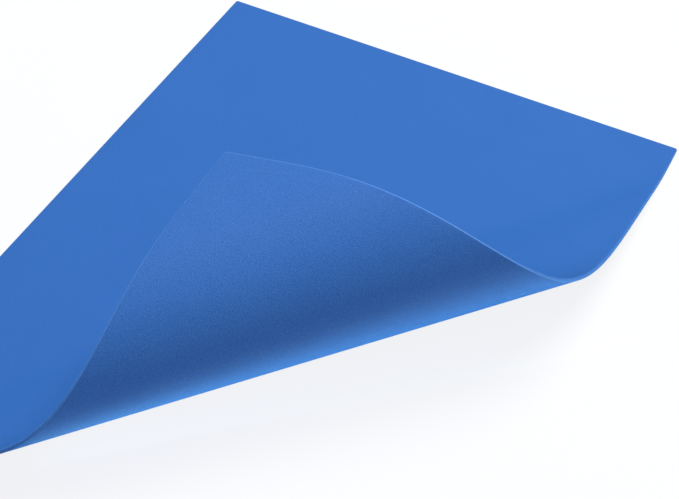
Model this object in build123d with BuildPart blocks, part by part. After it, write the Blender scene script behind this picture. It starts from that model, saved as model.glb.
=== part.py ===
from build123d import *
import os
from math import atan2, cos, sin

os.makedirs("parts", exist_ok=True)

# Cut size of the sheet, 9 by 12 inches, and the thickness of its foam
sheet_width = 228.6
sheet_length = 304.8
foam_thickness = 1.5
corner_radius = 1.0
tip_width = 1.2

# The front right corner lifts off along the diagonal and rolls back over the sheet.
# Runs are measured on the foam from the diagonal, square to it at its middle.
lift_angle = 18
lift_run = 18
roll_angle = 171
roll_start = 31
roll_end = 177
roll_sections = 40

# The straight lines of the roll fan out from a point this far past the front left corner
fan_distance = 565

# Corners of the flat sheet, its middle at the origin
back_left = Vector(-sheet_width / 2, sheet_length / 2)
back_right = Vector(sheet_width / 2, sheet_length / 2)
front_left = Vector(-sheet_width / 2, -sheet_length / 2)
front_right = Vector(sheet_width / 2, -sheet_length / 2)

diagonal = (back_right - front_left).normalized()
across = Vector(diagonal.Y, -diagonal.X)
fan_point = front_left - diagonal * fan_distance + Vector(0, 0, foam_thickness / 2)
middle_distance = fan_distance + (back_right - front_left).length / 2

to_tip = front_right - fan_point
tip_angle = atan2(to_tip.dot(across), to_tip.dot(diagonal))


def smooth_rise(start, end, run):
    """Climb smoothly from 0 at start to 1 at end."""
    share = min(max((run - start) / (end - start), 0), 1)
    return share * share * (3 - 2 * share)


def slope_at(angle):
    """Slope of the foam, in degrees, where a line of the fan crosses it."""
    run = middle_distance * angle
    return lift_angle * smooth_rise(0, lift_run, run) + roll_angle * smooth_rise(roll_start, roll_end, run)


def fan_line(angle):
    """Direction of one line of the fan on the flat sheet."""
    return diagonal * cos(angle) + across * sin(angle)


def line_plane(angle, distance):
    """Plane square to the flat sheet, its X along a line of the fan."""
    line = fan_line(angle)
    return Plane(fan_point + line * distance, x_dir=line, z_dir=Vector(line.Y, -line.X))


def front_reach(angle):
    """Distance along a line of the fan to the front edge."""
    return (front_left - fan_point).Y / fan_line(angle).Y


def side_reach(angle):
    """Distance along a line of the fan to the right edge."""
    return (back_right - fan_point).X / fan_line(angle).X


# Stop where the narrowing corner is as wide as its blunt tip
full_width = side_reach(0) - front_reach(0)
last_angle = tip_angle * (1 - tip_width / full_width)

with BuildPart() as foam_sheet:
    # The half that lies flat
    with BuildSketch():
        with BuildLine():
            Polyline(front_left, back_right, back_left, close=True)
        make_face()
    extrude(amount=foam_thickness)

    # The half that rolls, bent a little about each line of the fan in turn
    bent = Location()
    for section in range(roll_sections + 1):
        angle = last_angle * section / roll_sections
        if section > 0:
            previous = last_angle * (section - 1) / roll_sections
            hinge = line_plane((previous + angle) / 2, 0).location
            bend = Location((0, 0, 0), (slope_at(previous) - slope_at(angle), 0, 0))
            bent = bent * hinge * bend * hinge.inverse()
        start = front_reach(angle)
        end = side_reach(angle)
        upright = line_plane(angle, (start + end) / 2).location
        with BuildSketch(Plane(bent * upright)):
            Rectangle(end - start, foam_thickness)
    loft()

    # Corners softened by the cutting die
    fillet(foam_sheet.edges().filter_by(Axis.Z), radius=corner_radius)

# Stand the sheet on the middle of the base of its bounding box
box = foam_sheet.part.bounding_box()
foam_sheet.part.move(Location((-box.center().X, -box.center().Y, -box.min.Z)))
foam_sheet.part.label = "foam_sheet"
export_step(foam_sheet.part, "parts/foam_sheet.step")
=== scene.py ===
from math import atan2, cos, radians, sin

import bmesh
import bpy
from mathutils import Matrix, Vector


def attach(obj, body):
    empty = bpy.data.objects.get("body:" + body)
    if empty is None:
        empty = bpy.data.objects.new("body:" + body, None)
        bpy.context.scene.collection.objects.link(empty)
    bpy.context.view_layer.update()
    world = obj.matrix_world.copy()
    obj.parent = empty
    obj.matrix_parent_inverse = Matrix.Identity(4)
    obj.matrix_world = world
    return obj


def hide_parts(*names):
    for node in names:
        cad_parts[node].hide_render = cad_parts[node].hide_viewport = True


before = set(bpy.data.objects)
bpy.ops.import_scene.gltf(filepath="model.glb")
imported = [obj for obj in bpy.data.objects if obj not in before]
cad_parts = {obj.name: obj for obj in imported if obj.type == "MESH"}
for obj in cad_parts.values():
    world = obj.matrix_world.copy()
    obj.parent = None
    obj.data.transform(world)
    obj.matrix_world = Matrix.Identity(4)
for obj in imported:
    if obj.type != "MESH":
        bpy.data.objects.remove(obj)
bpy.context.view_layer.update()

# Camera
# It looks down on the sheet over its front right corner, as the photograph does, with the horizon
# leaning a little.
camera_place = Vector((0.1910, -0.4152, 0.4694))
camera_aim = Vector((0.0065, 0.0204, 0.0))
camera_lean = radians(4.12)
camera_lens_mm = 83.8

camera = bpy.data.objects.new("camera", bpy.data.cameras.new("camera"))
camera.data.lens = camera_lens_mm
camera.data.sensor_width = 36.0
camera.data.clip_start = 0.01
aimed = (camera_aim - camera_place).to_track_quat("-Z", "Y").to_matrix().to_4x4()
camera.matrix_world = Matrix.Translation(camera_place) @ aimed @ Matrix.Rotation(camera_lean, 4, "Z")
bpy.context.scene.collection.objects.link(camera)
bpy.context.scene.camera = camera

# Foam sheet
# One rectangle of closed-cell EVA foam, sliced from a moulded block and cut out by a die. Its faces
# are matt and finely grained, and along the underside the open-celled cut edge has a painted
# highlight, a lighter blue on its rounded rim.
# The front right corner is rolled back over the sheet.
sheet_width = 0.2286
sheet_length = 0.3048
foam_thickness = 0.0015
corner_radius = 0.001
edge_radius = 0.00045
grid_step = 0.0016
sharp_edge = radians(45)

# How upright a face's normal is on the flat faces, and from where on it belongs to a rim
face_upright = 0.98
rim_upright = 0.5
# How strongly the painted highlight shows on the underside rim of the long sides and of the short
# ends
side_painted_highlight = 1.0
end_painted_highlight = 0.3

# The same roll as the solid's, bent in finer strips of the fan
lift_angle = 18
lift_run = 0.018
roll_angle = 171
roll_start = 0.031
roll_end = 0.177
fan_distance = 0.565
strip_turn = radians(0.04)


def smooth_rise(start, end, run):
    """Climb smoothly from 0 at start to 1 at end."""
    share = min(max((run - start) / (end - start), 0), 1)
    return share * share * (3 - 2 * share)


def flat_slab():
    """The sheet before its corner is rolled, with softened corners and rims."""
    slab = bmesh.new()
    columns = round(sheet_width / grid_step)
    rows = round(sheet_length / grid_step)
    bmesh.ops.create_grid(slab, x_segments=columns, y_segments=rows, size=0.5)
    bmesh.ops.scale(slab, vec=(sheet_width, sheet_length, 1), verts=slab.verts)
    lifted = bmesh.ops.extrude_face_region(slab, geom=slab.faces[:])["geom"]
    raised = [part for part in lifted if isinstance(part, bmesh.types.BMVert)]
    bmesh.ops.translate(slab, vec=(0, 0, foam_thickness), verts=raised)
    bmesh.ops.recalc_face_normals(slab, faces=slab.faces)
    upright = [
        edge
        for edge in slab.edges
        if abs(edge.verts[0].co.z - edge.verts[1].co.z) > foam_thickness / 2
        and edge.calc_face_angle() > sharp_edge
    ]
    bmesh.ops.bevel(
        slab, geom=upright, offset=corner_radius, segments=4, profile=0.5, affect="EDGES", material=-1
    )
    rims = [edge for edge in slab.edges if edge.calc_face_angle() > sharp_edge]
    bmesh.ops.bevel(
        slab, geom=rims, offset=edge_radius, segments=3, profile=0.5, affect="EDGES", material=-1
    )
    return slab


def mark_sides(slab):
    """Mark the underside, the cut edge, and the underside rim that gets a painted highlight."""
    underside = slab.faces.layers.float.new("underside")
    cut = slab.faces.layers.float.new("cut")
    painted_highlight = slab.faces.layers.float.new("painted_highlight")
    for face in slab.faces:
        upright = face.normal.z
        # The rim of the underside gets a painted highlight, weaker on the short ends.
        painted_highlight_share = end_painted_highlight if abs(face.normal.y) > abs(face.normal.x) else side_painted_highlight
        face[underside] = float(upright < -rim_upright)
        face[cut] = float(abs(upright) < face_upright)
        face[painted_highlight] = painted_highlight_share if -face_upright < upright < -rim_upright else 0.0
        face.smooth = True


def roll_corner(slab):
    """Bend the half past the diagonal a little about each line of a fan in turn."""
    front_left = Vector((-sheet_width / 2, -sheet_length / 2, 0))
    diagonal = -2 * front_left
    middle_distance = fan_distance + diagonal.length / 2
    diagonal.normalize()
    across = Vector((diagonal.y, -diagonal.x, 0))
    fan_point = front_left - diagonal * fan_distance + Vector((0, 0, foam_thickness / 2))
    onto_fan = Matrix.Translation(fan_point)
    off_fan = Matrix.Translation(-fan_point)

    def slope(angle):
        run = middle_distance * angle
        lift = radians(lift_angle) * smooth_rise(0, lift_run, run)
        return lift + radians(roll_angle) * smooth_rise(roll_start, roll_end, run)

    bent = [Matrix.Identity(4)]
    for point in slab.verts:
        from_fan = point.co - fan_point
        angle = atan2(from_fan.dot(across), from_fan.dot(diagonal))
        if angle <= 0:
            continue
        strip = round(angle / strip_turn)
        while len(bent) <= strip:
            end = len(bent) * strip_turn
            middle = end - strip_turn / 2
            line = diagonal * cos(middle) + across * sin(middle)
            turn = slope(end - strip_turn) - slope(end)
            bent.append(bent[-1] @ onto_fan @ Matrix.Rotation(turn, 4, line) @ off_fan)
        point.co = bent[strip] @ point.co


slab = flat_slab()
mark_sides(slab)
roll_corner(slab)
sheet_mesh = bpy.data.meshes.new("foam_sheet_skin")
slab.to_mesh(sheet_mesh)
slab.free()
foam_sheet = bpy.data.objects.new("foam_sheet_skin", sheet_mesh)
bpy.context.scene.collection.objects.link(foam_sheet)


class Shade:
    """One socket of a shader, so that shader maths reads as sums and products."""

    def __init__(self, tree, socket=None):
        self.tree = tree
        self.socket = socket

    def node(self, kind, settings=None, sockets=None, out=0):
        """Add a node, set it up, feed its sockets, and wrap one of its outputs."""
        made = self.tree.nodes.new(kind)
        for name, value in (settings or {}).items():
            setattr(made, name, value)
        for name, value in (sockets or {}).items():
            if isinstance(value, Shade):
                self.tree.links.new(value.socket, made.inputs[name])
            else:
                made.inputs[name].default_value = value
        return Shade(self.tree, made.outputs[out] if made.outputs else None)

    def sum_of(self, operation, first, second):
        return self.node("ShaderNodeMath", {"operation": operation}, {0: first, 1: second})

    def __add__(self, other):
        return self.sum_of("ADD", self, other)

    def __radd__(self, other):
        return self.sum_of("ADD", other, self)

    def __sub__(self, other):
        return self.sum_of("SUBTRACT", self, other)

    def __rsub__(self, other):
        return self.sum_of("SUBTRACT", other, self)

    def __mul__(self, other):
        return self.sum_of("MULTIPLY", self, other)

    def __rmul__(self, other):
        return self.sum_of("MULTIPLY", other, self)


def blended(shade, share, first, second):
    """A colour between two others."""
    colours = {0: share, 6: first, 7: second}
    return shade.node("ShaderNodeMix", {"data_type": "RGBA", "clamp_factor": True}, colours, out=2)


def grain(shade, place, per_metre, detail, contrast):
    """Even noise with this many lumps in a metre, stretched about its middle."""
    sockets = {"Vector": place, "Scale": per_metre, "Detail": detail, "Roughness": 0.6}
    noise = shade.node("ShaderNodeTexNoise", None, sockets)
    return noise * contrast - (contrast - 1) / 2


face_blue = (0.0400, 0.171, 0.535, 1)
face_blue_deep = (0.0320, 0.150, 0.485, 1)
back_blue = (0.0680, 0.212, 0.585, 1)
back_blue_deep = (0.0300, 0.140, 0.480, 1)
cut_blue = (0.080, 0.232, 0.640, 1)
cut_blue_deep = (0.055, 0.190, 0.560, 1)
# Painted highlight along the underside rim of the cut edge
painted_highlight_blue = (0.150, 0.360, 0.800, 1)
sheen_blue = (0.10, 0.46, 1.0, 1)

clouds_per_metre = 22
pebbles_per_metre = 2300
fine_per_metre = 3400
cells_per_metre = 2500
relief_depth = 0.00009
face_roughness = 0.56

foam = bpy.data.materials.new("eva_foam")
foam.use_nodes = True
foam.node_tree.nodes.clear()
shade = Shade(foam.node_tree)
place = shade.node("ShaderNodeTexCoord", out="Object")
underside = shade.node("ShaderNodeAttribute", {"attribute_name": "underside"}, out="Fac")
cut = shade.node("ShaderNodeAttribute", {"attribute_name": "cut"}, out="Fac")
# Where the painted highlight lies on the underside rim
painted_highlight = shade.node("ShaderNodeAttribute", {"attribute_name": "painted_highlight"}, out="Fac")

clouds = grain(shade, place, clouds_per_metre, detail=2, contrast=2.5)
pebbles = grain(shade, place, pebbles_per_metre, detail=3, contrast=3)
fine_grain = grain(shade, place, fine_per_metre, detail=2, contrast=2)
cells = shade.node(
    "ShaderNodeTexVoronoi", {"feature": "F1"}, {"Vector": place, "Scale": cells_per_metre}
)

face_tone = clouds * 0.3 + fine_grain * 0.9
back_tone = clouds * 0.1 + pebbles * 0.9
face_colour = blended(shade, face_tone, face_blue_deep, face_blue)
back_colour = blended(shade, back_tone, back_blue_deep, back_blue)
# The cut edge's colour, with the painted highlight along its underside rim
cut_colour = blended(shade, painted_highlight, blended(shade, cells * 1.2, cut_blue_deep, cut_blue), painted_highlight_blue)
colour = blended(shade, cut, blended(shade, underside, face_colour, back_colour), cut_colour)

roughness = face_roughness + underside * 0.1 + cut * 0.2 + fine_grain * 0.08

face_relief = fine_grain * 0.9 + pebbles * 0.6
back_relief = pebbles * 0.8 + cells * 0.5 + fine_grain * 0.3
relief = face_relief * (1 - underside) + back_relief * underside + cells * cut
bump = shade.node(
    "ShaderNodeBump", None, {"Strength": 1.0, "Distance": relief_depth, "Height": relief}
)
foam_shader = shade.node(
    "ShaderNodeBsdfPrincipled",
    None,
    {
        "Base Color": colour,
        "Roughness": roughness,
        "IOR": 1.4,
        "Specular IOR Level": 0.25,
        "Sheen Weight": 0.9,
        "Sheen Roughness": 0.3,
        "Sheen Tint": sheen_blue,
        "Normal": bump,
    },
)
shade.node("ShaderNodeOutputMaterial", None, {"Surface": foam_shader})
sheet_mesh.materials.append(foam)

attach(foam_sheet, "root")
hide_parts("foam_sheet")

# Floor
# A plain white table top that reaches far past the sheet on every side. It keeps the sheet's soft
# shadow, and to the camera it is mostly plain white.
floor_size = 8.0
floor_white = (0.92, 0.92, 0.92, 1)
pure_white = (1, 1, 1, 1)
seen_white_share = 0.86

floor_slab = bmesh.new()
bmesh.ops.create_grid(floor_slab, x_segments=1, y_segments=1, size=floor_size / 2)
floor_mesh = bpy.data.meshes.new("floor")
floor_slab.to_mesh(floor_mesh)
floor_slab.free()
floor = bpy.data.objects.new("floor", floor_mesh)
bpy.context.scene.collection.objects.link(floor)

table = bpy.data.materials.new("white_table")
table.use_nodes = True
table.node_tree.nodes.clear()
shade = Shade(table.node_tree)
seen = shade.node("ShaderNodeLightPath", out="Is Camera Ray")
matt_white = shade.node("ShaderNodeBsdfDiffuse", None, {"Color": floor_white})
plain_white = shade.node("ShaderNodeEmission", None, {"Color": pure_white, "Strength": 1.0})
table_shader = shade.node(
    "ShaderNodeMixShader",
    None,
    {0: seen * seen_white_share, 1: matt_white, 2: plain_white},
)
shade.node("ShaderNodeOutputMaterial", None, {"Surface": table_shader})
floor_mesh.materials.append(table)

# Light
# A large soft box above and behind the sheet, and an even, cooler room that is dim on the object. A
# weak lamp at the foot of the roll faces up, in place of the light that a wide white table throws
# on the roll from below.
soft_box_size = 1.2
soft_box_height = 68
soft_box_bearing = 165
soft_box_distance = 2.0
soft_box_watts = 42.8
table_lamp_length = 0.25
table_lamp_width = 0.025
table_lamp_place = (0.0557, -0.0544, 0.003)
table_lamp_tilt = 155
table_lamp_turn = 42.5
table_lamp_watts = 0.059
table_lamp_colour = (0.62, 1.05, 1.12)
room_colour = (0.66, 1.04, 1.45, 1)
room_strength = 0.16

bearing = radians(soft_box_bearing)
height = radians(soft_box_height)
toward_box = Vector((cos(height) * sin(bearing), -cos(height) * cos(bearing), sin(height)))
soft_box = bpy.data.objects.new("soft_box", bpy.data.lights.new("soft_box", "AREA"))
soft_box.data.size = soft_box_size
soft_box.data.energy = soft_box_watts
facing = (-toward_box).to_track_quat("-Z", "Y").to_matrix().to_4x4()
soft_box.matrix_world = Matrix.Translation(toward_box * soft_box_distance) @ facing
bpy.context.scene.collection.objects.link(soft_box)

table_lamp = bpy.data.objects.new("table_lamp", bpy.data.lights.new("table_lamp", "AREA"))
table_lamp.data.shape = "RECTANGLE"
table_lamp.data.size = table_lamp_length
table_lamp.data.size_y = table_lamp_width
table_lamp.data.energy = table_lamp_watts
table_lamp.data.color = table_lamp_colour
table_lamp.visible_camera = False
table_lamp.location = table_lamp_place
table_lamp.rotation_euler = (radians(table_lamp_tilt), 0, radians(table_lamp_turn))
bpy.context.scene.collection.objects.link(table_lamp)

room = bpy.data.worlds.new("white_room")
bpy.context.scene.world = room
room.use_nodes = True
room.node_tree.nodes.clear()
shade = Shade(room.node_tree)
seen = shade.node("ShaderNodeLightPath", out="Is Camera Ray")
dim_light = shade.node(
    "ShaderNodeBackground", None, {"Color": room_colour, "Strength": room_strength}
)
seen_white = shade.node("ShaderNodeBackground", None, {"Color": pure_white, "Strength": 1.0})
room_shader = shade.node("ShaderNodeMixShader", None, {0: seen, 1: dim_light, 2: seen_white})
shade.node("ShaderNodeOutputWorld", None, {"Surface": room_shader})

bpy.context.scene.view_settings.view_transform = "Standard"
